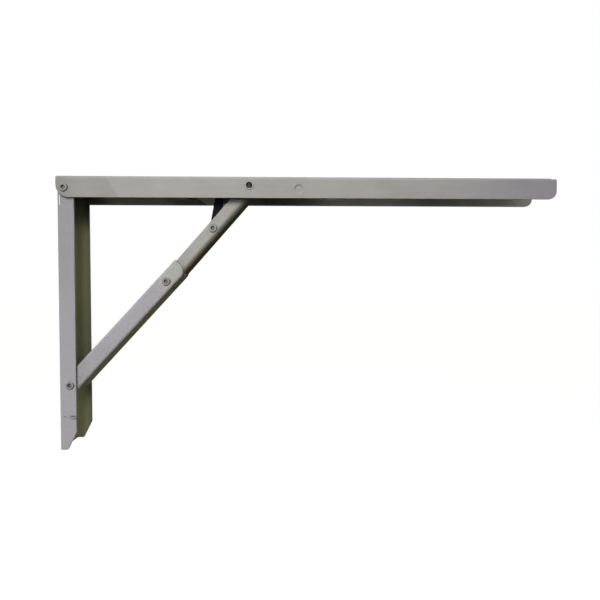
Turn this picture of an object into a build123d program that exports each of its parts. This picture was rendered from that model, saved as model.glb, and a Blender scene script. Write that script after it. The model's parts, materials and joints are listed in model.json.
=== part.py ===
from build123d import *
from math import atan2, cos, degrees, hypot, pi, radians, sin, sqrt
import os

# Folding shelf bracket.  All sizes in millimetres.
# X runs out from the wall, Y across the bracket, Z up.  The shapes are drawn
# with Z = 0 at the shelf face and X = 0 at the wall, and are moved at the end
# so that the origin is the centre of the two outer wall screw holes.

# ---- sheet metal -----------------------------------------------------------
sheet = 1.6                    # wall leg and support arm
strut_sheet = 1.5              # both halves of the folding strut
arm_bend = 3.5                 # outer bend radius of the arm
leg_bend = 3.0                 # outer bend radius of the wall leg
lower_bend = 2.6               # outer bend radius of the lower strut
upper_bend = 4.6               # outer bend radius of the upper strut

# ---- widths, from the outside in -------------------------------------------
arm_width = 42.0
nest_gap = 1.3                 # per side between nested channels: rivet heads and washers

# ---- support arm -----------------------------------------------------------
arm_length = 500.0
arm_depth = 21.5
arm_wall_gap = 0.8             # rear end of the arm to the wall
arm_rear_radius = 12.0
arm_rear_chamfer = 1.0
arm_nose_radius = 8.0
arm_web_setback = 5.0          # the web stops short of the flange tips
arm_tip_step = 1.3             # top of the flange tips below the shelf face
shelf_hole_radius = 2.75
rear_hole_x = 35.0
rear_hole_pitch = 80.0
front_hole_from_end = 55.0     # foremost hole to the tip
front_hole_pitch = 170.0
dimple_x = 240.2
dimple_drop = 12.4             # below the shelf face
dimple_radius = 4.7
dimple_depth = 1.0
dimple_slope = 1.4

# ---- wall leg --------------------------------------------------------------
leg_depth = 16.8
leg_bottom = 273.9             # below the shelf face
leg_slant_height = 17.6
leg_toe_depth = 8.1
leg_toe_radius = 1.2
leg_top_clearance = 0.4        # swing clearance under the arm's web
leg_top_radius = 6.0
wall_hole_radius = 3.25
wall_hole_drop = 42.0          # uppermost hole below the shelf face
wall_hole_pitch = 100.0        # three holes

# ---- pivots, in the plane of the bracket -----------------------------------
arm_pivot = (8.4, -11.9)
foot_pivot = (10.74, -208.73)
strut_pivot = (190.78, -9.01)
lower_length = 141.7           # foot pivot to knee
over_centre = 1.5              # knee past the straight line between its ends

# ---- strut sections, measured from the line through the pivots -------------
lower_web_offset = 8.8
lower_lip_offset = 8.0
lower_foot_end = 7.2           # end beyond the foot pivot
lower_knee_end = 22.0          # end beyond the knee
lower_knee_radius = 9.0
lower_foot_radius = 6.2
upper_web_offset = 7.9
upper_nose_radius = 6.8         # end at the strut pin, clear of the arm's web
stop_gap = 0.08                # upper strut lip to its stop, the lower web
upper_knee_clearance = 0.4     # upper strut end inside the lower web
upper_web_relief = 18.0        # web starts this far past the knee
upper_nose_round = 1.2
lever_from_top = 55.9          # strut pivot to lever pin, along the strut
lever_pin_offset = 0.6         # lever pin above the strut's line

# ---- rivets, pins and washers ----------------------------------------------
rivet_radius = 2.5
head_radius = 4.1
head_height = 1.0
head_round = 0.6
tail_radius = 3.5
tail_height = 1.1
tail_round = 0.5
tail_bore = 1.3
rivet_dent_radius = 1.8
dent_taper = 0.5
dent_depth = 1.3
running_fit = 0.08             # radial, all turning joints
end_play = 0.1                 # along the pins
washer_radius = 6.0
washer_play = 0.1
tube_radius = 3.7              # hollow strut pin
tube_bore = 3.05
tube_rim = 4.3
tube_rim_height = 0.7
tube_rim_round = 0.35
spacer_radius = 4.4

# ---- release lever, drawn from its pin -------------------------------------
lever_pin_radius = 2.2
lever_boss_radius = 4.6
lever_boss_chamfer = 1.2
lever_side_play = 0.4
lever_back = ((-3.6, 2.9), (-2.3, 11.0), (0.2, 24.5), (4.0, 42.3))
lever_front = ((9.65, 45.8), (9.65, 24.0), (4.5, 1.5))
lever_nose_radius = 2.2
lever_shoulder_radius = 10.0
spring_wire = 0.9
spring_radius = 3.0            # coil, to the middle of the wire
spring_turns = 3
spring_pitch = 0.972
spring_gap = 0.14              # wire to the lever's side
spring_room = 4.4              # lever blade to the strut's flange
spring_hook_angle = 30.0       # hooked leg, from the strut's line
spring_hook_leg = 11.0
spring_hook_depth = 2.6
spring_hook_play = 0.6         # hooked end to the bottom of its hole
spring_seam = 0.02             # legs slimmer than the coil's wire
spring_rest_angle = 12.0       # resting leg, towards the strut's web
spring_rest_leg = 10.0

# ---- worked out from the values above --------------------------------------
arm_inner = arm_width - 2 * sheet
leg_width = arm_inner - 2 * nest_gap
leg_inner = leg_width - 2 * sheet
lower_width = leg_inner - 2 * nest_gap
lower_inner = lower_width - 2 * strut_sheet
upper_width = lower_inner - 2 * nest_gap
upper_inner = upper_width - 2 * strut_sheet
hole_radius = rivet_radius + running_fit
wall_screws_drop = wall_hole_drop + wall_hole_pitch
arm_reach = arm_wall_gap + arm_length
front_hole_x = arm_reach - front_hole_from_end
lever_blade_width = upper_inner - 2 * spring_room


def knee_point():
    """Knee: lower_length from the foot, over_centre outside the straight line."""
    run = (strut_pivot[0] - foot_pivot[0], strut_pivot[1] - foot_pivot[1])
    span = hypot(*run)
    along = sqrt(lower_length ** 2 - over_centre ** 2)
    ux = run[0] / span
    uz = run[1] / span
    x = foot_pivot[0] + along * ux + over_centre * uz
    z = foot_pivot[1] + along * uz - over_centre * ux
    return (x, z)


knee = knee_point()
lower_angle = atan2(knee[1] - foot_pivot[1], knee[0] - foot_pivot[0])
upper_angle = atan2(strut_pivot[1] - knee[1], strut_pivot[0] - knee[0])
upper_length = hypot(strut_pivot[0] - knee[0], strut_pivot[1] - knee[1])
web_line = lower_web_offset - strut_sheet
upper_lip_offset = web_line - stop_gap - lower_knee_end * sin(upper_angle - lower_angle)
lever_reach = upper_length - lever_from_top
lever_pin = (
    knee[0] + lever_reach * cos(upper_angle) - lever_pin_offset * sin(upper_angle),
    knee[1] + lever_reach * sin(upper_angle) + lever_pin_offset * cos(upper_angle),
)


def side_plate(points, width):
    """Solid with the given outline in the XZ plane, centred on Y = 0."""
    outline = make_face(Polyline(*[(x, 0, z) for x, z in points], close=True))
    return extrude(outline, amount=width / 2, both=True)


def edges_at(solid, x, z):
    """Edges across the bracket (along Y) that pass through x, z."""
    across = solid.edges().filter_by(Axis.Y)
    return [e for e in across if hypot(e.center().X - x, e.center().Z - z) < 0.01]


def long_edges(solid, axis, side):
    """The two outermost long edges on one side of a solid."""
    return solid.edges().filter_by(axis).group_by(side)[-1]


def box(x0, x1, y0, y1, z0, z1):
    """Box between two corners."""
    size = Box(x1 - x0, y1 - y0, z1 - z0)
    return Pos((x0 + x1) / 2, (y0 + y1) / 2, (z0 + z1) / 2) * size


def cross_hole(x, z, radius, y0, y1):
    """Cylinder along Y between two planes, to cut or to add."""
    rod = Cylinder(radius, y1 - y0)
    return Pos(x, (y0 + y1) / 2, z) * Rot(90, 0, 0) * rod


def ring(x, z, outer, inner, y0, y1):
    """Flat ring or sleeve along Y."""
    return cross_hole(x, z, outer, y0, y1) - cross_hole(x, z, inner, y0 - 1, y1 + 1)


def turned(points, x, z, y, side):
    """Revolve a half profile (radius, height) and point its height along side * Y."""
    profile = make_face(Polyline(*[(r, 0, h) for r, h in points], close=True))
    body = revolve(profile, Axis.Z)
    return Pos(x, y, z) * Rot(-90 * side, 0, 0) * body


def support_arm():
    """Top channel, open downward, whose flanges straddle the wall leg."""
    x0 = arm_wall_gap
    x1 = arm_reach
    z1 = -arm_depth
    body = side_plate([(x0, 0), (x1, 0), (x1, z1), (x0, z1)], arm_width)
    body = fillet(edges_at(body, x0, z1), arm_rear_radius)
    body = fillet(edges_at(body, x1, z1), arm_nose_radius)
    body = chamfer(edges_at(body, x0, 0), arm_rear_chamfer)
    body = fillet(body.faces().sort_by(Axis.Z)[-1].edges().filter_by(Axis.X), arm_bend)
    hollow = box(-sheet, x1 + sheet, -arm_inner / 2, arm_inner / 2, z1 - 1, -sheet)
    hollow = fillet(long_edges(hollow, Axis.X, Axis.Z), arm_bend - sheet)
    body -= hollow
    web_end = x1 - arm_web_setback
    body -= box(web_end, x1 + 1, -arm_width, arm_width, -arm_tip_step, 1)
    body -= box(web_end, x1 + 1, -arm_inner / 2, arm_inner / 2, -arm_bend, 1)
    rear_holes = (rear_hole_x, rear_hole_x + rear_hole_pitch)
    front_holes = (front_hole_x - front_hole_pitch, front_hole_x)
    for x in rear_holes + front_holes:
        body -= Pos(x, 0, -sheet / 2) * Cylinder(shelf_hole_radius, 2 * sheet)
    body -= cross_hole(*arm_pivot, hole_radius, -arm_width, arm_width)
    body -= cross_hole(*strut_pivot, tube_radius, -arm_width, arm_width)
    for side in (-1, 1):
        body = body + dimple(side, False) - dimple(side, True)
    return body


def dimple(side, hollow):
    """Pressed dimple in a flange: the inner swelling, or the hollow outside it."""
    root = sheet / 2
    points = [
        (0, -root),
        (dimple_radius, -root),
        (dimple_radius, 0),
        (dimple_radius - dimple_slope, dimple_depth),
        (0, dimple_depth),
    ]
    face = arm_width / 2 if hollow else arm_inner / 2
    return turned(points, dimple_x, -dimple_drop, side * face, -side)


def wall_leg():
    """Wall channel, open to the front, with a tapered toe."""
    top = -sheet - leg_top_clearance
    bottom = -leg_bottom
    slant = bottom + leg_slant_height
    points = [(0, top), (leg_depth, top), (leg_depth, slant), (leg_toe_depth, bottom), (0, bottom)]
    body = side_plate(points, leg_width)
    body = fillet(edges_at(body, leg_depth, top), leg_top_radius)
    body = fillet(edges_at(body, leg_toe_depth, bottom), leg_toe_radius)
    body = fillet(edges_at(body, leg_depth, slant), leg_toe_radius)
    body = fillet(body.faces().sort_by(Axis.X)[0].edges().filter_by(Axis.Z), leg_bend)
    hollow = box(sheet, leg_depth + 1, -leg_inner / 2, leg_inner / 2, bottom - 1, 1)
    hollow = fillet(hollow.edges().filter_by(Axis.Z).group_by(Axis.X)[0], leg_bend - sheet)
    body -= hollow
    for row in range(3):
        z = -wall_hole_drop - row * wall_hole_pitch
        body -= Pos(sheet / 2, 0, z) * Rot(0, 90, 0) * Cylinder(wall_hole_radius, 2 * sheet)
    body -= cross_hole(*arm_pivot, rivet_radius, -leg_width, leg_width)
    body -= cross_hole(*foot_pivot, rivet_radius, -leg_width, leg_width)
    return body


def strut_place(origin, angle):
    """Location of a strut whose own X axis runs along it and Z across it."""
    return Location((origin[0], 0, origin[1]), (0, -degrees(angle), 0))


def lower_strut():
    """Outer strut half: channel with its web on the corner side."""
    s0 = -lower_foot_end
    s1 = lower_length + lower_knee_end
    low = -lower_lip_offset
    high = lower_web_offset
    body = side_plate([(s0, low), (s1, low), (s1, high), (s0, high)], lower_width)
    body = fillet(edges_at(body, s0, low) + edges_at(body, s0, high), lower_foot_radius)
    body = fillet(edges_at(body, s1, low), lower_knee_radius)
    body = fillet(body.faces().sort_by(Axis.Z)[-1].edges().filter_by(Axis.X), lower_bend)
    hollow = box(s0 - 1, s1 + 1, -lower_inner / 2, lower_inner / 2, low - 1, high - strut_sheet)
    hollow = fillet(long_edges(hollow, Axis.X, Axis.Z), lower_bend - strut_sheet)
    body -= hollow
    body -= cross_hole(0, 0, hole_radius, -lower_width, lower_width)
    body -= cross_hole(lower_length, 0, rivet_radius, -lower_width, lower_width)
    return strut_place(foot_pivot, lower_angle) * body


def upper_strut():
    """Inner strut half: channel with a softly bent web, and bare ears at the knee."""
    low = -upper_web_offset
    high = upper_lip_offset
    ear = web_line - upper_knee_clearance
    relief = upper_web_relief
    half = upper_width / 2
    end = upper_length
    channel = side_plate([(relief, low), (end, low), (end, high), (relief, high)], upper_width)
    channel = fillet(channel.faces().sort_by(Axis.Z)[0].edges().filter_by(Axis.X), upper_bend)
    nose = cross_hole(upper_length, 0, upper_nose_radius, -half, half)
    nose = fillet(nose.edges(), upper_nose_round)
    ears = side_plate([(0, -ear), (relief, -ear), (relief, high), (0, high)], upper_width)
    ears += cross_hole(0, 0, ear, -half, half)
    body = channel + nose + ears
    hollow = box(relief, upper_length + 20, -upper_inner / 2, upper_inner / 2, low + strut_sheet, high + 5)
    hollow = fillet(hollow.edges().filter_by(Axis.X).group_by(Axis.Z)[0], upper_bend - strut_sheet)
    body -= hollow
    body -= box(-2 * ear, relief, -upper_inner / 2, upper_inner / 2, -2 * ear, 2 * ear)
    body -= cross_hole(0, 0, hole_radius, -half, half)
    body -= cross_hole(upper_length, 0, tube_radius + running_fit, -half, half)
    body -= cross_hole(lever_reach, lever_pin_offset, lever_pin_radius, -half, half)
    return strut_place(knee, upper_angle) * body


def rivet(place, side, outer_face, inner_face):
    """Semi-tubular rivet: low dented head outside, rolled tail inside."""
    grip = outer_face - inner_face
    tail = -grip - tail_height
    points = dented_head(0) + [
        (rivet_radius, 0),
        (rivet_radius, -grip),
        (tail_radius, -grip),
        (tail_radius, tail + tail_round),
        (tail_radius - tail_round, tail),
        (rivet_radius - tail_round, tail),
        (tail_bore, -grip),
        (0, -grip),
    ]
    return turned(points, place[0], place[1], side * outer_face, side)


def dented_head(face):
    """Half profile of a rivet head that stands on a face, from its axis outward."""
    top = face + head_height
    return [
        (0, top - dent_depth),
        (rivet_dent_radius - dent_taper, top - dent_depth),
        (rivet_dent_radius, top),
        (head_radius - head_round, top),
        (head_radius, face + head_height - head_round),
        (head_radius, face),
    ]


def strut_pin():
    """Hollow pin across the arm, rolled over outside both flanges."""
    half = arm_width / 2
    end = half + tube_rim_height
    points = [
        (tube_bore, 0),
        (tube_radius, 0),
        (tube_radius, half),
        (tube_rim, half),
        (tube_rim, end - tube_rim_round),
        (tube_rim - tube_rim_round, end),
        (tube_bore + tube_rim_round, end),
        (tube_bore, end - tube_rim_round),
    ]
    near = turned(points, *strut_pivot, 0, -1)
    far = turned(points, *strut_pivot, 0, 1)
    return near + far


def lever_rivet():
    """Pin across the upper strut that carries the release lever."""
    half = upper_width / 2
    points = [(0, 0)] + dented_head(half) + [(lever_pin_radius, half), (lever_pin_radius, 0)]
    near = turned(points, *lever_pin, 0, -1)
    far = turned(points, *lever_pin, 0, 1)
    return near + far


def lever_corner(point):
    """Place of a lever point given from its pin."""
    return (lever_pin[0] + point[0], lever_pin[1] + point[1])


def release_lever():
    """Moulded lever between the strut and the arm, turning on the lever rivet."""
    outline = [lever_corner(p) for p in lever_back + lever_front + ((0, 0),)]
    blade = side_plate(outline, lever_blade_width)
    nose = edges_at(blade, *lever_corner(lever_back[-1]))
    nose += edges_at(blade, *lever_corner(lever_front[0]))
    blade = fillet(nose, lever_nose_radius)
    blade = fillet(edges_at(blade, *lever_corner(lever_front[1])), lever_shoulder_radius)
    near = lever_side_play - upper_inner / 2
    boss = cross_hole(*lever_pin, lever_boss_radius, near, lever_blade_width / 2)
    boss = chamfer(boss.edges().group_by(Axis.Y)[0], lever_boss_chamfer)
    body = blade + boss
    body -= cross_hole(*lever_pin, lever_pin_radius + running_fit, -upper_width, upper_width)
    hook = lever_spring_path()[0][-1]
    hole = Pos(hook[0], hook[1], 0) * Cylinder(spring_wire / 2 + running_fit, 2 * spring_hook_depth)
    body -= spring_place(-spring_wire / 2 - spring_gap) * hole
    return body


def spring_place(lift):
    """Frame on the lever pin: X along the strut, Y to its web, Z across the bracket."""
    y = lever_blade_width / 2 + spring_gap + spring_wire / 2 + lift
    turn = Rot(0, -degrees(upper_angle), 0) * Rot(-90, 0, 0)
    return Pos(lever_pin[0], y, lever_pin[1]) * turn


def lever_spring_path():
    """Corner points of the spring's two legs, and the coil's first angle and length."""
    r = spring_radius
    hook = radians(90.0 - spring_hook_angle)
    rest = radians(90.0 - spring_rest_angle)
    turns = spring_turns + (rest - hook) / (2 * pi)
    top = spring_pitch * turns
    start = (r * cos(hook), r * sin(hook), 0)
    eye = (start[0] + spring_hook_leg * sin(hook), start[1] - spring_hook_leg * cos(hook), 0)
    end = (r * cos(rest), r * sin(rest), top)
    toe = (end[0] - spring_rest_leg * sin(rest), end[1] + spring_rest_leg * cos(rest), top)
    return ((start, eye), (end, toe), degrees(hook), top)


def spring_leg(*points):
    """Straight wire through corner points, let a little into the coil's end."""
    radius = spring_wire / 2 - spring_seam
    root = Vector(*points[0]) - (Vector(*points[1]) - Vector(*points[0])).normalized() * spring_wire
    corners = (root,) + tuple(Vector(*p) for p in points[1:])
    body = Pos(*corners[-1]) * Sphere(radius)
    for a, b in zip(corners, corners[1:]):
        body += extrude(Plane(a, z_dir=b - a) * Circle(radius), amount=(b - a).length)
        body += Pos(*b) * Sphere(radius)
    return body


def lever_spring():
    """Torsion spring: one leg hooked into the lever, the other resting on the strut."""
    hook_leg, rest_leg, first, top = lever_spring_path()
    helix = Helix(spring_pitch, top, spring_radius)
    section = Plane(helix @ 0, z_dir=helix % 0) * RegularPolygon(spring_wire / 2, 8)
    coil = sweep(section, path=helix, is_frenet=True)
    eye = hook_leg[-1]
    tip = (eye[0], eye[1], spring_hook_play - spring_hook_depth - spring_gap - spring_wire / 2)
    body = (Rot(0, 0, first) * coil) + spring_leg(*hook_leg, tip) + spring_leg(*rest_leg)
    return spring_place(0) * body


def washer(place, inner_part_face, side):
    """Washer that fills the gap between two nested channels."""
    y = sorted((side * inner_part_face, side * (inner_part_face + nest_gap - washer_play)))
    return ring(*place, washer_radius, hole_radius, *y)


def parts():
    """Every node by name."""
    nodes = {
        "wall_leg": wall_leg(),
        "support_arm": support_arm(),
        "lower_strut": lower_strut(),
        "upper_strut": upper_strut(),
        "release_lever": release_lever(),
        "lever_rivet": lever_rivet(),
        "lever_spring": lever_spring(),
        "strut_pin": strut_pin(),
    }
    arm_face = arm_width / 2
    leg_face = leg_width / 2
    lower_face = lower_width / 2
    upper_face = upper_width / 2
    for name, side in (("left", -1), ("right", 1)):
        nodes["arm_rivet_" + name] = rivet(arm_pivot, side, arm_face + end_play, leg_inner / 2)
        nodes["foot_rivet_" + name] = rivet(foot_pivot, side, leg_face, lower_inner / 2 - end_play)
        nodes["knee_rivet_" + name] = rivet(knee, side, lower_face, upper_inner / 2 - end_play)
        nodes["arm_washer_" + name] = washer(arm_pivot, leg_face, side)
        nodes["foot_washer_" + name] = washer(foot_pivot, lower_face, side)
        nodes["knee_washer_" + name] = washer(knee, upper_face, side)
        y = sorted((side * (upper_face + end_play), side * arm_inner / 2))
        nodes["strut_spacer_" + name] = ring(*strut_pivot, spacer_radius, tube_radius, *y)
    return nodes


os.makedirs("parts", exist_ok=True)
to_origin = Pos(0, 0, wall_screws_drop)
for node, solid in parts().items():
    export_step(to_origin * solid, "parts/" + node + ".step")
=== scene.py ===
"""Looks of the folding shelf bracket: materials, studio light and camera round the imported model."""

import json
import math

import bpy
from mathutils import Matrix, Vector


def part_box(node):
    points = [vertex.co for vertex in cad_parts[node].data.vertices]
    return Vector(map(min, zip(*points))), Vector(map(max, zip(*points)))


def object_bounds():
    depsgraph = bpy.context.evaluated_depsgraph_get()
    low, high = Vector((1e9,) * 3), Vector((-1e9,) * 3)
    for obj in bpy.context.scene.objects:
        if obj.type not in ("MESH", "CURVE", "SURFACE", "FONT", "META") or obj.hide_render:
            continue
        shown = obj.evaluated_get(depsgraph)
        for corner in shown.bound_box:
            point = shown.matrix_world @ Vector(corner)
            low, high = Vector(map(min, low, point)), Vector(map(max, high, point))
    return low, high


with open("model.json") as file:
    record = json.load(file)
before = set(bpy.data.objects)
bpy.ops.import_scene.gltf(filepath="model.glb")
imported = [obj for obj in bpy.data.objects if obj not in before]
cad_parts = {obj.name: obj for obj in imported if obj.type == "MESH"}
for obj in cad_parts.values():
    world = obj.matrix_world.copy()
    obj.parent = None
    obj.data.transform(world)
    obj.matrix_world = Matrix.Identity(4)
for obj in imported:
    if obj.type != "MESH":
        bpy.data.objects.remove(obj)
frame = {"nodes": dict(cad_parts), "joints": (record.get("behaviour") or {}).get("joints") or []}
cad_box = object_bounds()

MM = 0.001
WHITE = (1.0, 1.0, 1.0, 1.0)

# Directions (x, z) in which rivets are shaded.
UPPER_LEFT = (-0.71, 0.71)
LOWER_RIGHT = (0.71, -0.71)

# Places in the bracket's middle plane (x, z), in millimetres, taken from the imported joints.
PIVOTS = {j["name"]: (j["pos_m"][0] / MM, j["pos_m"][2] / MM) for j in frame["joints"]}


def centre_of(node):
    """Middle of a CAD node's box as (x, z) in millimetres."""
    low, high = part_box(node)
    mid = (low + high) / (2 * MM)
    return (mid.x, mid.z)


# ---- material kit ------------------------------------------------------------


class Shader:
    """A node tree with short names for the nodes the materials share."""

    def __init__(self, name):
        self.material = bpy.data.materials.new(name)
        self.material.use_nodes = True
        self.tree = self.material.node_tree
        self.tree.nodes.clear()
        self.output = self.tree.nodes.new("ShaderNodeOutputMaterial")
        place = self.tree.nodes.new("ShaderNodeTexCoord")
        self.coords = place.outputs["Object"]
        self.facing = place.outputs["Normal"]

    def put(self, socket, value):
        """Link a node's output to a socket, or set a constant on it."""
        if isinstance(value, bpy.types.NodeSocket):
            self.tree.links.new(value, socket)
        else:
            socket.default_value = value

    def math(self, operation, a, b=0.0):
        """One step of arithmetic on numbers or outputs."""
        made = self.tree.nodes.new("ShaderNodeMath")
        made.operation = operation
        self.put(made.inputs[0], a)
        self.put(made.inputs[1], b)
        return made.outputs[0]

    def stretched(self, x, y, z):
        """Object coordinates scaled along each axis."""
        made = self.tree.nodes.new("ShaderNodeMapping")
        self.put(made.inputs["Vector"], self.coords)
        made.inputs["Scale"].default_value = (x, y, z)
        return made.outputs[0]

    def noise(self, scale, detail=3.0, roughness=0.5, vector=None):
        """Noise from 0 to 1, its scale in cells per metre."""
        made = self.tree.nodes.new("ShaderNodeTexNoise")
        self.put(made.inputs["Vector"], vector or self.coords)
        made.inputs["Scale"].default_value = scale
        made.inputs["Detail"].default_value = detail
        made.inputs["Roughness"].default_value = roughness
        return made.outputs[0]

    def ramp(self, value, low, high, out_low=0.0, out_high=1.0):
        """Value mapped from low..high to out_low..out_high, held at both ends."""
        made = self.tree.nodes.new("ShaderNodeMapRange")
        made.interpolation_type = "SMOOTHSTEP"
        for slot, number in zip(made.inputs[1:5], (low, high, out_low, out_high)):
            slot.default_value = number
        self.put(made.inputs[0], value)
        return made.outputs[0]

    def mix(self, factor, a, b):
        """Colour mix."""
        made = self.tree.nodes.new("ShaderNodeMix")
        made.data_type = "RGBA"
        self.put(made.inputs[0], factor)
        self.put(made.inputs[6], a)
        self.put(made.inputs[7], b)
        return made.outputs[2]

    def multiply(self, a, b):
        """Product of two colours."""
        made = self.tree.nodes.new("ShaderNodeVectorMath")
        made.operation = "MULTIPLY"
        self.put(made.inputs[0], a)
        self.put(made.inputs[1], b)
        return made.outputs[0]

    def stepped(self, value, stops):
        """Colour that changes along a value from one (place in mm, colour) stop to the next."""
        colour = stops[0][1]
        for (start, _), (end, shade) in zip(stops, stops[1:]):
            colour = self.mix(self.ramp(value, start * MM, end * MM), colour, shade)
        return colour

    def corner_shade(self, reach, amount):
        """Painted shade: amount in corners and along steps narrower than reach (m), 0 on open faces.
        """
        made = self.tree.nodes.new("ShaderNodeAmbientOcclusion")
        made.samples = 8
        made.inputs["Distance"].default_value = reach
        return self.ramp(made.outputs["AO"], 0.45, 0.95, amount, 0.0)

    def split(self):
        """Object coordinates x and z (m)."""
        made = self.tree.nodes.new("ShaderNodeSeparateXYZ")
        self.put(made.inputs[0], self.coords)
        return made.outputs[0], made.outputs[2]

    def across(self):
        """Distance (m) from the bracket's middle plane, positive away from the front."""
        made = self.tree.nodes.new("ShaderNodeSeparateXYZ")
        self.put(made.inputs[0], self.coords)
        return made.outputs[1]

    def front_only(self):
        """1 on the near half of the bracket."""
        return self.ramp(self.across(), -0.5 * MM, 0.5 * MM, 1.0, 0.0)

    def inside(self, half_width, opening):
        """1 on the inner faces of a channel, half_width (mm) to its flanges, open one way."""
        distance = self.math("ABSOLUTE", self.across())
        within = self.ramp(distance, (half_width + 0.05) * MM, (half_width + 0.3) * MM, 1.0, 0.0)
        dot = self.tree.nodes.new("ShaderNodeVectorMath")
        dot.operation = "DOT_PRODUCT"
        self.put(dot.inputs[0], self.facing)
        dot.inputs[1].default_value = opening
        return self.math("MULTIPLY", within, self.ramp(dot.outputs["Value"], -0.75, -0.45))

    def bump(self, height, strength, distance):
        """Bump node for a height, distance in metres; its Normal input is left free."""
        made = self.tree.nodes.new("ShaderNodeBump")
        made.inputs["Strength"].default_value = strength
        made.inputs["Distance"].default_value = distance
        self.put(made.inputs["Height"], height)
        return made

    def rounded(self, radius):
        """Normals that round off sharp edges by a small radius (m)."""
        made = self.tree.nodes.new("ShaderNodeBevel")
        made.samples = 6
        made.inputs["Radius"].default_value = radius
        return made.outputs[0]

    def finish(self, colour, roughness, normal, **settings):
        """Principled surface with these inputs and settings; returns the material."""
        surface = self.tree.nodes.new("ShaderNodeBsdfPrincipled")
        self.put(surface.inputs["Base Color"], colour)
        self.put(surface.inputs["Roughness"], roughness)
        self.put(surface.inputs["Normal"], normal)
        for name, value in settings.items():
            surface.inputs[name.replace("_", " ")].default_value = value
        self.tree.links.new(surface.outputs[0], self.output.inputs[0])
        return self.material


def scaled(colour, factor):
    """A colour made lighter or darker."""
    return tuple(channel * factor for channel in colour[:3]) + (1.0,)


def tinted(colour, tint):
    """A colour multiplied by another."""
    return tuple(a * b for a, b in zip(colour, tint)) + (1.0,)


def grey(level, warmth=0.0):
    """Linear grey, a little warmer or cooler."""
    return (level * (1 + warmth), level, level * (1 - 2.2 * warmth), 1.0)


def offsets(s, place):
    """Distances in x and z (m) from a line through place along Y, and the radius."""
    x, z = s.split()
    dx = s.math("SUBTRACT", x, place[0] * MM)
    dz = s.math("SUBTRACT", z, place[1] * MM)
    square = s.math("ADD", s.math("MULTIPLY", dx, dx), s.math("MULTIPLY", dz, dz))
    return dx, dz, s.math("SQRT", square)


def ring_mask(s, place, inner, outer, soft=0.35):
    """1 in a ring of radii inner..outer (mm) about a line through place along Y."""
    radius = offsets(s, place)[2]
    rise = s.ramp(radius, (inner - soft) * MM, (inner + soft) * MM)
    fall = s.ramp(radius, (outer - soft) * MM, (outer + soft) * MM, 1.0, 0.0)
    return s.math("MULTIPLY", rise, fall)


def disc_mask(s, place, radius, soft):
    """1 within a radius (mm) of a line through place along Y."""
    return ring_mask(s, place, -1.0, radius, soft)


def along(s, place, direction):
    """Distance (m) from place in one direction of the x-z plane."""
    dx, dz, _ = offsets(s, place)
    return s.math("ADD", s.math("MULTIPLY", dx, direction[0]), s.math("MULTIPLY", dz, direction[1]))


def crescent_mask(s, place, inner, outer, direction, soft=0.3):
    """The part of a ring that lies towards one direction."""
    ahead = s.ramp(along(s, place, direction), 0.0, 0.55 * outer * MM)
    return s.math("MULTIPLY", ring_mask(s, place, inner, outer, soft), ahead)


def box_mask(s, x_range, z_range, soft=1.0):
    """1 inside a soft-edged box in x and z (mm)."""
    mask = None
    for value, (low, high) in zip(s.split(), (x_range, z_range)):
        rise = s.ramp(value, (low - soft) * MM, (low + soft) * MM)
        fall = s.ramp(value, (high - soft) * MM, (high + soft) * MM, 1.0, 0.0)
        side = s.math("MULTIPLY", rise, fall)
        mask = side if mask is None else s.math("MULTIPLY", mask, side)
    return mask


HEAD = 4.1              # radius (mm) of a rivet's head
DIMPLE = 1.8            # radius (mm) of the hollow in it
SHEET_EDGE = 0.35       # radii (mm) over which edges catch the light
METAL_EDGE = 0.25
PLASTIC_EDGE = 0.40
CREVICE_REACH = 2.2     # mm
CREVICE_SHADE = 0.7
# The inner faces' tone is painted light and shade.
INNER_COVER = 0.95      # share of the coat that the inner faces' own tone covers
EVEN = ((0.0, 1.0), (1.0, 1.0))     # shades that change nothing

WORN_BRIGHT = grey(0.56, 0.01)
# The next grey is painted shade round rivet heads and in their hollows.
PAINTED_SHADE_GREY = grey(0.06, 0.03)
SCUFF_DARK = grey(0.05, 0.02)
RING_SHADE = grey(0.03, 0.03)
RIM_SHADE = grey(0.03, 0.02)
HOLLOW_SHADE = grey(0.012, 0.02)
BORE_DARK = grey(0.022, 0.03)


def base_tone(s, colour, cloud, rolled, speck):
    """The coat's own tone: clouds, rolling lines and dark specks."""
    tone = s.mix(s.ramp(cloud, 0.32, 0.68), scaled(colour, 0.94), scaled(colour, 1.06))
    tone = s.mix(s.ramp(rolled, 0.35, 0.75, out_high=0.25), tone, scaled(colour, 1.16))
    return s.mix(s.ramp(speck, 0.62, 0.78, out_high=0.30), tone, scaled(colour, 0.78))


def sloped(s, tone, place, direction, width, amount, shade):
    """A shade that comes in along a direction, over width (mm) either side of place."""
    side = s.ramp(along(s, place, direction), -width * MM, width * MM, out_high=amount)
    return s.mix(side, tone, shade)


def mottled(s, tone, colour, amount):
    """Fine dark mottle."""
    spots = s.noise(760.0, detail=2.0, roughness=0.65)
    return s.mix(s.ramp(spots, 0.38, 0.62, out_high=amount), tone, scaled(colour, 0.5))


def glinting(s, tone, half_width, place, direction, width, end, shine):
    """A lit patch on the far flange's inner face, from a slanted line at place to x = end (mm)."""
    fade = 1.0
    x, _ = s.split()
    mark = s.ramp(along(s, place, direction), -width * MM, width * MM)
    mark = s.math("MULTIPLY", mark, s.ramp(x, (end - fade) * MM, end * MM, 1.0, 0.0))
    far = s.ramp(s.across(), (half_width - 2.0) * MM, (half_width - 0.5) * MM)
    return s.mix(s.math("MULTIPLY", mark, far), tone, shine)


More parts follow.
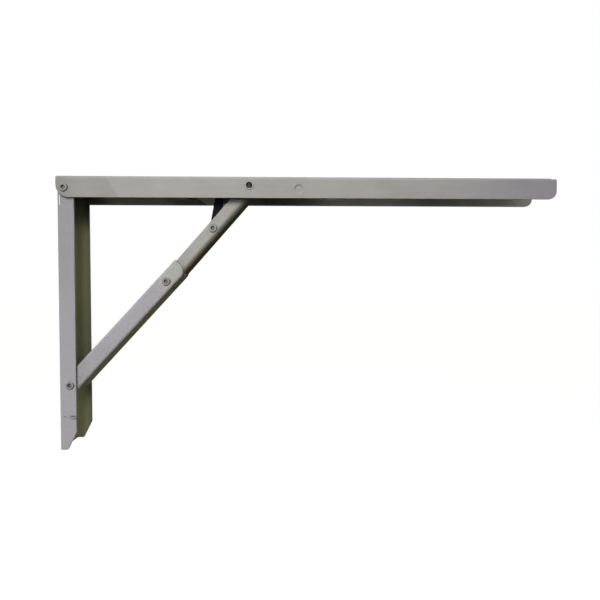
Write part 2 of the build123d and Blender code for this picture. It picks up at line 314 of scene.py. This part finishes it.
def shaded_inner_faces(s, tone, colour, half_width, opening, painted_light_steps, shades=EVEN, glint=None):
    """Painted light and shade inside a channel: the coat's colour times steps along x and shades
    along z.

    The steps and shades are (place in mm, factor) stops.
    """
    x, z = s.split()
    inner = s.stepped(x, [(at, tinted(colour, tint)) for at, tint in painted_light_steps])
    inner = s.multiply(inner, s.stepped(z, [(at, grey(level)) for at, level in shades]))
    if glint is not None:
        inner = glinting(s, inner, half_width, **glint)
    cover = s.math("MULTIPLY", s.inside(half_width, opening), INNER_COVER)
    return s.mix(cover, tone, inner)


def worn_and_shaded_ring(s, tone, place):
    """Ring round a rivet's head: rubbed bright, with painted shade all round its edge and a painted
    shadow at its lower right.
    """
    worn = s.ramp(s.noise(900.0), 0.35, 0.6, out_low=0.3)
    halo = s.math("MULTIPLY", ring_mask(s, place, HEAD, HEAD + 0.8), worn)
    tone = s.mix(s.math("MULTIPLY", halo, 0.35), tone, WORN_BRIGHT)
    # Painted shade all round the head's edge, then a painted shadow at its lower right.
    shade = ring_mask(s, place, HEAD - 0.2, HEAD + 0.2, soft=0.25)
    tone = s.mix(s.math("MULTIPLY", shade, 0.45), tone, PAINTED_SHADE_GREY)
    shade = crescent_mask(s, place, HEAD - 0.2, HEAD + 0.5, LOWER_RIGHT)
    return s.mix(s.math("MULTIPLY", shade, 0.75), tone, RING_SHADE)


def scuffed(s, tone, x_range, z_range, amount):
    """Dark streaks in a box on the near half."""
    streak = s.noise(520.0, detail=5.0, roughness=0.7, vector=s.stretched(0.45, 1.0, 1.6))
    mark = s.math("MULTIPLY", box_mask(s, x_range, z_range), s.ramp(streak, 0.45, 0.60))
    mark = s.math("MULTIPLY", mark, s.front_only())
    return s.mix(s.math("MULTIPLY", mark, amount), tone, SCUFF_DARK)


def painted_highlight(s, tone, x_range, z_range, amount, shine):
    """A painted highlight in a box on the near half."""
    mark = s.math("MULTIPLY", box_mask(s, x_range, z_range, soft=0.5), s.front_only())
    return s.mix(s.math("MULTIPLY", mark, amount), tone, shine)


def coated_steel(
    name, colour, grain, head, inside, slopes=(), scuffs=(), highlights=(), gloss=0.08, mottle=0.10
):
    """Satin coat on sheet steel rolled along grain, with a rivet's head at one place."""
    s = Shader(name)
    cloud = s.noise(22.0, detail=4.0, roughness=0.55)
    rolled = s.noise(160.0, detail=2.0, vector=s.stretched(*grain))
    speck = s.noise(2600.0, detail=2.0, roughness=0.6)
    tone = base_tone(s, colour, cloud, rolled, speck)
    # Slopes carry painted light and shade as well as changes of tone.
    for entry in slopes:
        tone = sloped(s, tone, **entry)
    tone = mottled(s, tone, colour, mottle)
    # Painted light and shade on the inner faces.
    tone = shaded_inner_faces(s, tone, colour, **inside)
    tone = worn_and_shaded_ring(s, tone, head)
    for entry in scuffs:
        tone = scuffed(s, tone, **entry)
    # Painted highlights.
    for entry in highlights:
        tone = painted_highlight(s, tone, **entry)
    # Painted shade in corners and along steps.
    shade = s.corner_shade(CREVICE_REACH * MM, CREVICE_SHADE)
    tone = s.mix(shade, tone, scaled(colour, 0.15))
    fine = s.bump(speck, strength=0.10, distance=0.04 * MM)
    s.put(fine.inputs["Normal"], s.rounded(SHEET_EDGE * MM))
    lines = s.bump(rolled, strength=0.05, distance=0.05 * MM)
    s.put(lines.inputs["Normal"], fine.outputs[0])
    rough = s.ramp(s.math("ADD", cloud, rolled), 0.7, 1.3, 0.50, 0.62)
    return s.finish(tone, rough, lines.outputs[0], Specular_IOR_Level=gloss)


def dented_head(s, tone, place):
    """Painted shade in the hollow of a rivet's head and along its rim."""
    # Painted shade: the hollow darkened, a shadow at its upper left and shadows along the rims' lower
    # right.
    hollow_mask = disc_mask(s, place, DIMPLE, soft=0.25)
    tone = s.mix(s.math("MULTIPLY", hollow_mask, 0.55), tone, PAINTED_SHADE_GREY)
    dark = crescent_mask(s, place, DIMPLE * 0.3, DIMPLE + 0.5, UPPER_LEFT)
    tone = s.mix(s.math("MULTIPLY", dark, 0.9), tone, HOLLOW_SHADE)
    dark = crescent_mask(s, place, DIMPLE - 0.1, DIMPLE + 0.6, LOWER_RIGHT)
    tone = s.mix(s.math("MULTIPLY", dark, 0.5), tone, RIM_SHADE)
    dark = crescent_mask(s, place, HEAD - 0.35, HEAD + 1.0, LOWER_RIGHT, soft=0.2)
    return s.mix(s.math("MULTIPLY", dark, 0.7), tone, RIM_SHADE)


def dark_bore(s, tone, place, radius):
    """Dark inside of a hollow pin, radius in mm."""
    return s.mix(disc_mask(s, place, radius, soft=0.12), tone, BORE_DARK)


def plated_steel(name, level, rough=(0.36, 0.52), head=None, bore=None):
    """Dull plated steel, cloudy and specked, with a dented head or a bore at one place."""
    s = Shader(name)
    cloud = s.noise(420.0, detail=4.0, roughness=0.6)
    fine = s.noise(3200.0, roughness=0.6)
    tone = s.mix(s.ramp(cloud, 0.35, 0.65), grey(level * 0.84, 0.02), grey(level * 1.12, 0.01))
    tone = s.mix(s.ramp(fine, 0.60, 0.75, out_high=0.5), tone, grey(level * 0.55, 0.03))
    if head is not None:
        tone = dented_head(s, tone, head)
    if bore is not None:
        tone = dark_bore(s, tone, **bore)
    height = s.math("ADD", cloud, s.math("MULTIPLY", fine, 0.4))
    dents = s.bump(height, strength=0.25, distance=0.06 * MM)
    s.put(dents.inputs["Normal"], s.rounded(METAL_EDGE * MM))
    look = {"Metallic": 0.10, "Specular_IOR_Level": 0.30}
    return s.finish(tone, s.ramp(cloud, 0.3, 0.7, *rough), dents.outputs[0], **look)


def black_plastic(name):
    """Moulded satin black: faint flow marks, dust and a fine grain."""
    s = Shader(name)
    flow = s.noise(60.0, vector=s.stretched(1.0, 1.0, 0.4))
    grain = s.noise(2200.0, detail=2.0)
    tone = s.mix(s.ramp(flow, 0.35, 0.7), grey(0.003, 0.02), grey(0.007, 0.02))
    tone = s.mix(s.ramp(grain, 0.66, 0.8, out_high=0.5), tone, grey(0.016, 0.02))
    pits = s.bump(grain, strength=0.22, distance=0.05 * MM)
    s.put(pits.inputs["Normal"], s.rounded(PLASTIC_EDGE * MM))
    rough = s.ramp(flow, 0.3, 0.7, 0.50, 0.64)
    return s.finish(tone, rough, pits.outputs[0], Specular_IOR_Level=0.05)


# ---- materials on the CAD nodes ----------------------------------------------


def dress(node, material):
    """Give a CAD node its material in every slot."""
    mesh = frame["nodes"][node].data
    if not mesh.materials:
        mesh.materials.append(material)
    for index in range(len(mesh.materials)):
        mesh.materials[index] = material


ARM_PIVOT = centre_of("arm_rivet_left")
FOOT = PIVOTS["foot_hinge"]
KNEE = PIVOTS["knee_hinge"]
PIN = PIVOTS["strut_hinge"]
LEVER = PIVOTS["lever_hinge"]

ARM_GREY = (0.336, 0.332, 0.322)
# Painted shade: the arm darkens to violet grey towards its tip.
ARM_TIP_SHADE = (0.196, 0.183, 0.228, 1.0)
LEG_GREY = (0.286, 0.280, 0.300)
# Painted light: the leg's near face grows paler towards the foot.
LEG_FOOT_LIT_GREY = (0.384, 0.377, 0.408, 1.0)
LOWER_GREY = (0.378, 0.370, 0.402)
KNEE_GREEN_GREY = (0.412, 0.418, 0.392, 1.0)
UPPER_GREY = (0.378, 0.373, 0.360)
# Painted shade over the upper strut's web.
WEB_SHADE_OLIVE = (0.120, 0.110, 0.062, 1.0)
LIT_COAT = (0.90, 0.90, 0.90, 1.0)
# Painted highlight along the top of the leg's rear bend.
HIGHLIGHT_WHITE = (0.90, 0.92, 1.0, 1.0)

# Directions (x, z) in which a coat's tone changes.
REARWARD = (-1.0, 0.0)
FORWARD = (1.0, 0.0)
DOWN = (0.0, -1.0)
UP_THE_STRUT = (0.656, 0.755)
ACROSS_THE_STRUT = (0.755, -0.656)

# Rolling directions of the sheets, as noise scales along x, y and z.
ALONG_X = (0.2, 4, 4)
ALONG_Z = (4, 4, 0.2)
ALONG_STRUT = (1, 4, 1)


def slope(place, direction, width, amount, shade):
    """One entry of a coat's slopes: what sloped() takes, by name."""
    return {
        "place": place,
        "direction": direction,
        "width": width,
        "amount": amount,
        "shade": shade,
    }


def dress_arm():
    """Top channel: painted shade steps in near the hinge, darkens the rear end and turns the tip
    violet grey.
    """
    height = 131.0
    # Painted shade: a shadow edge near the hinge, a darker rear end, darker from the middle on, and a
    # violet grey tip.
    slopes = (
        slope((55.5, 131.2), (-0.856, -0.518), 2.0, 0.26, scaled(ARM_GREY, 0.5)),
        slope((12.0, height), REARWARD, 16.0, 0.30, scaled(ARM_GREY, 0.45)),
        slope((262.0, height), FORWARD, 12.0, 0.05, scaled(ARM_GREY, 0.4)),
        slope((425.0, height), FORWARD, 105.0, 0.66, ARM_TIP_SHADE),
    )
    # Painted light and shade on the arm's inner faces, step by step along x.
    painted_light_steps = (
        (22.0, (0.50, 0.53, 0.40)),
        (50.0, (1.45, 1.48, 1.40)),
        (88.0, (1.38, 1.44, 1.45)),
        (122.0, (0.72, 0.74, 0.78)),
        (195.0, (0.62, 0.64, 0.60)),
        (212.0, (0.45, 0.46, 0.42)),
        (232.0, (0.64, 0.66, 0.63)),
        (288.0, (2.10, 2.15, 2.18)),
        (335.0, (2.08, 2.12, 2.18)),
        (388.0, (1.38, 1.42, 1.50)),
        (440.0, (1.86, 1.86, 1.95)),
        (490.0, (2.55, 2.50, 2.60)),
    )
    glint = {
        "place": (138.0, 124.3),
        "direction": (0.55, 0.84),
        "width": 0.6,
        "end": 154.0,
        "shine": LIT_COAT,
    }
    inside = {"half_width": 19.4, "opening": (0, 0, -1), "painted_light_steps": painted_light_steps, "glint": glint}
    coat = coated_steel("arm_coat", ARM_GREY, ALONG_X, ARM_PIVOT, inside, slopes)
    dress("support_arm", coat)


def dress_leg():
    """Wall channel: painted light makes it paler at the foot, with a scuff there and a painted
    highlight line at the top.
    """
    scuff_height = -99.0
    # Painted light, paler towards the foot.
    slopes = (slope((0.0, 15.0), DOWN, 125.0, 1.0, LEG_FOOT_LIT_GREY),)
    scuffs = (
        {
            "x_range": (11.5, 18.0),
            "z_range": (scuff_height - 2.2, scuff_height + 2.0),
            "amount": 0.80,
        },
        {
            "x_range": (4.0, 12.5),
            "z_range": (scuff_height - 0.6, scuff_height + 1.6),
            "amount": 0.55,
        },
    )
    # Painted highlight: a bright line along the top of the rear bend.
    highlights = (
        {"x_range": (2.7, 3.3), "z_range": (113.5, 123.5), "amount": 0.85, "shine": HIGHLIGHT_WHITE},
    )
    # Painted light and shade inside the leg: warm olive light near the web, painted shade under the
    # arm.
    painted_light_steps = ((5.0, (1.93, 2.00, 1.15)), (20.0, (0.49, 0.50, 0.24)))
    shades = (
        (-107.0, 0.97),
        (-80.0, 0.90),
        (-20.0, 0.62),
        (40.0, 0.80),
        (85.0, 0.78),
        (112.0, 0.30),
    )
    inside = {"half_width": 16.5, "opening": (1, 0, 0), "painted_light_steps": painted_light_steps, "shades": shades}
    coat = coated_steel("leg_coat", LEG_GREY, ALONG_Z, FOOT, inside, slopes, scuffs, highlights)
    dress("wall_leg", coat)


def dress_lower_strut():
    """Outer half of the strut: violet grey, greener from the knee up."""
    start = (KNEE[0] - 6.0, KNEE[1] - 6.9)
    slopes = (slope(start, UP_THE_STRUT, 12.0, 1.0, KNEE_GREEN_GREY),)
    # Painted light: a warm olive bounce on the strut's inner faces.
    painted_light_steps = ((20.0, (1.36, 1.36, 0.86)), (110.0, (1.25, 1.25, 0.75)))
    inside = {"half_width": 13.7, "opening": (0.682, 0.0, -0.731), "painted_light_steps": painted_light_steps}
    coat = coated_steel(
        "lower_strut_coat", LOWER_GREY, ALONG_STRUT, KNEE, inside, slopes, mottle=0.25
    )
    dress("lower_strut", coat)


def dress_upper_strut():
    """Inner half of the strut: painted shade turns it dark olive from its web's bend on."""
    to_bend = 4.6
    bend = tuple(at + to_bend * step for at, step in zip(KNEE, ACROSS_THE_STRUT))
    # Painted shade from the web's bend on.
    slopes = (slope(bend, ACROSS_THE_STRUT, 2.6, 0.9, WEB_SHADE_OLIVE),)
    # Painted warm bounce light gives the inner faces an olive tint.
    olive = (1.0, 1.0, 0.8)
    painted_light_steps = ((0.0, olive), (1.0, olive))
    inside = {"half_width": 10.9, "opening": (-0.755, 0.0, 0.656), "painted_light_steps": painted_light_steps}
    coat = coated_steel(
        "upper_strut_coat", UPPER_GREY, ALONG_STRUT, LEVER, inside, slopes, gloss=0.0, mottle=0.20
    )
    dress("upper_strut", coat)


def dress_fittings():
    """Lever, spring, pins, rivets, washers and spacers."""
    dress("release_lever", black_plastic("lever_plastic"))
    dress("lever_spring", plated_steel("spring_wire", 0.28, (0.26, 0.38)))
    dress("lever_rivet", plated_steel("lever_rivet_plate", 0.225, head=LEVER))
    bore = {"place": PIN, "radius": 3.2}
    dress("strut_pin", plated_steel("strut_pin_plate", 0.30, bore=bore))
    rivets = (("arm", ARM_PIVOT, 0.19), ("foot", FOOT, 0.24), ("knee", KNEE, 0.225))
    rings = ("arm_washer", "foot_washer", "knee_washer", "strut_spacer")
    for side in ("left", "right"):
        for joint, place, level in rivets:
            plate = plated_steel(f"{joint}_rivet_plate_{side}", level, head=place)
            dress(f"{joint}_rivet_{side}", plate)
        for ring in rings:
            dress(f"{ring}_{side}", plated_steel(f"{ring}_plate_{side}", 0.30))


dress_arm()
dress_leg()
dress_lower_strut()
dress_upper_strut()
dress_fittings()


# ---- studio ------------------------------------------------------------------

# Lengths in metres, lamp powers in watts.
AMBIENT = 0.10
BOUNCE = (1.0, 1.0, 0.74, 1.0)
FLOOR_COLOUR = (0.13, 0.13, 0.10, 1.0)
FLOOR_GLOW = 0.985          # with the lamps' light this comes to white
FLOOR_DROP = 0.45           # from the bracket's lowest point
FLOOR_SIZE = 30.0
MIDDLE = (0.14, 0.0, 0.04)  # what the front lamps look at
WARM_WHITE = (1.0, 0.99, 0.97)


def seen_directly(tree):
    """1 where the camera, a reflection or a refraction looks at the surface."""
    path = tree.nodes.new("ShaderNodeLightPath")
    total = None
    for name in ("Is Camera Ray", "Is Glossy Ray", "Is Transmission Ray"):
        if total is None:
            total = path.outputs[name]
            continue
        add = tree.nodes.new("ShaderNodeMath")
        add.operation = "MAXIMUM"
        tree.links.new(total, add.inputs[0])
        tree.links.new(path.outputs[name], add.inputs[1])
        total = add.outputs[0]
    return total


def build_world(ambient):
    """White to the camera, a dim even light to the object."""
    world = bpy.data.worlds.new("studio_world")
    world.use_nodes = True
    tree = world.node_tree
    tree.nodes.clear()
    output = tree.nodes.new("ShaderNodeOutputWorld")
    dim = tree.nodes.new("ShaderNodeBackground")
    dim.inputs["Color"].default_value = BOUNCE
    dim.inputs["Strength"].default_value = ambient
    white = tree.nodes.new("ShaderNodeBackground")
    white.inputs["Color"].default_value = WHITE
    white.inputs["Strength"].default_value = 1.0
    mix = tree.nodes.new("ShaderNodeMixShader")
    tree.links.new(seen_directly(tree), mix.inputs[0])
    tree.links.new(dim.outputs[0], mix.inputs[1])
    tree.links.new(white.outputs[0], mix.inputs[2])
    tree.links.new(mix.outputs[0], output.inputs[0])
    bpy.context.scene.world = world


def build_floor(height, size):
    """Pale floor that keeps the soft shadow and blends into the white background."""
    material = bpy.data.materials.new("studio_floor")
    material.use_nodes = True
    tree = material.node_tree
    tree.nodes.clear()
    output = tree.nodes.new("ShaderNodeOutputMaterial")
    diffuse = tree.nodes.new("ShaderNodeBsdfDiffuse")
    diffuse.inputs["Color"].default_value = FLOOR_COLOUR
    glow = tree.nodes.new("ShaderNodeEmission")
    glow.inputs["Color"].default_value = WHITE
    level = tree.nodes.new("ShaderNodeMath")
    level.operation = "MULTIPLY"
    level.inputs[1].default_value = FLOOR_GLOW
    tree.links.new(seen_directly(tree), level.inputs[0])
    tree.links.new(level.outputs[0], glow.inputs["Strength"])
    add = tree.nodes.new("ShaderNodeAddShader")
    tree.links.new(diffuse.outputs[0], add.inputs[0])
    tree.links.new(glow.outputs[0], add.inputs[1])
    tree.links.new(add.outputs[0], output.inputs[0])
    mesh = bpy.data.meshes.new("floor")
    half = size / 2
    outline = ((-half, -half), (half, -half), (half, half), (-half, half))
    mesh.from_pydata([(x, y, height) for x, y in outline], [], [(0, 1, 2, 3)])
    mesh.materials.append(material)
    floor = bpy.data.objects.new("floor", mesh)
    bpy.context.scene.collection.objects.link(floor)


def area_light(name, place, target, size, watts, colour=(1.0, 1.0, 1.0)):
    """Soft lamp, size wide and high, looking at a target."""
    data = bpy.data.lights.new(name, "AREA")
    data.shape = "RECTANGLE"
    data.size, data.size_y = size
    data.energy = watts
    data.color = colour
    lamp = bpy.data.objects.new(name, data)
    lamp.location = place
    lamp.rotation_euler = (Vector(target) - Vector(place)).to_track_quat("-Z", "Y").to_euler()
    bpy.context.scene.collection.objects.link(lamp)


def build_camera():
    """Near view from under the arm's height, turned a little to its open end, as in the photo."""
    data = bpy.data.cameras.new("camera")
    data.sensor_width = 36.0
    data.lens = 24.67
    data.shift_x = 0.0247
    data.shift_y = -0.0078
    data.clip_start = 0.01
    camera = bpy.data.objects.new("camera", data)
    camera.location = (0.2173, -0.4324, 0.0344)
    camera.rotation_euler = (math.radians(88.5), 0.0, math.radians(-1.29))
    bpy.context.scene.collection.objects.link(camera)
    bpy.context.scene.camera = camera


bpy.context.scene.view_settings.view_transform = "Standard"
build_world(AMBIENT)
build_floor(cad_box[0][2] - FLOOR_DROP, FLOOR_SIZE)
area_light("key", (0.10, -1.30, 0.80), MIDDLE, (0.6, 0.6), 16.0, WARM_WHITE)
area_light("side", (-0.30, -1.05, 0.30), MIDDLE, (0.5, 0.5), 2.9)
area_light("open_side", (0.95, -1.05, 0.20), MIDDLE, (0.5, 0.5), 1.5)
area_light("rim", (-0.80, -0.30, 0.25), (0.0, 0.0, 0.0), (0.3, 0.5), 2.0)
area_light("top", (0.15, -0.20, 1.20), (0.2, 0.0, 0.1), (0.9, 0.6), 4.0)
area_light("back", (0.30, 1.50, 0.50), (0.14, 0.0, 0.0), (0.9, 0.9), 14.0)
build_camera()
